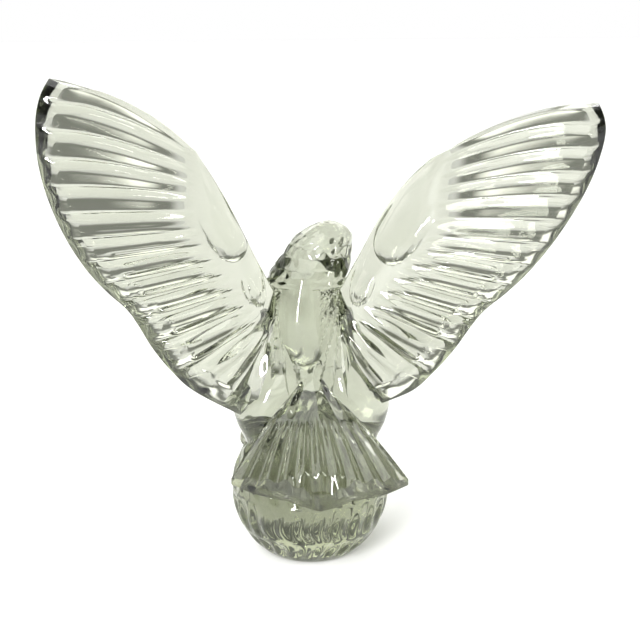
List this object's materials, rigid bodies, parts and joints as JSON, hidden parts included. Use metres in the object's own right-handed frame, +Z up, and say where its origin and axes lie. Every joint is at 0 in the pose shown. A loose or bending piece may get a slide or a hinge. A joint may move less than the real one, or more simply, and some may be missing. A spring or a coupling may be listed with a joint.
{
  "type": "glass eagle figurine",
  "caption": "Clear cast glass eagle with raised, swept-back wings and a fanned tail, its head turned aside, gripping a ball that stands on a ground flat.",
  "frame": {"origin": "centre of the flat ground under the ball, where the figure stands", "axes": "+Z up, +Y the way the eagle's breast faces, +X its right-hand side, along the spread of the wings"},
  "size_m": [0.2042, 0.0782, 0.1916],
  "materials": {
    "clear_glass": "fire-polished clear glass with a faint grey-green tint"
  },
  "bodies": {
    "root": {"eagle": "clear_glass"}
  },
  "joints": []
}
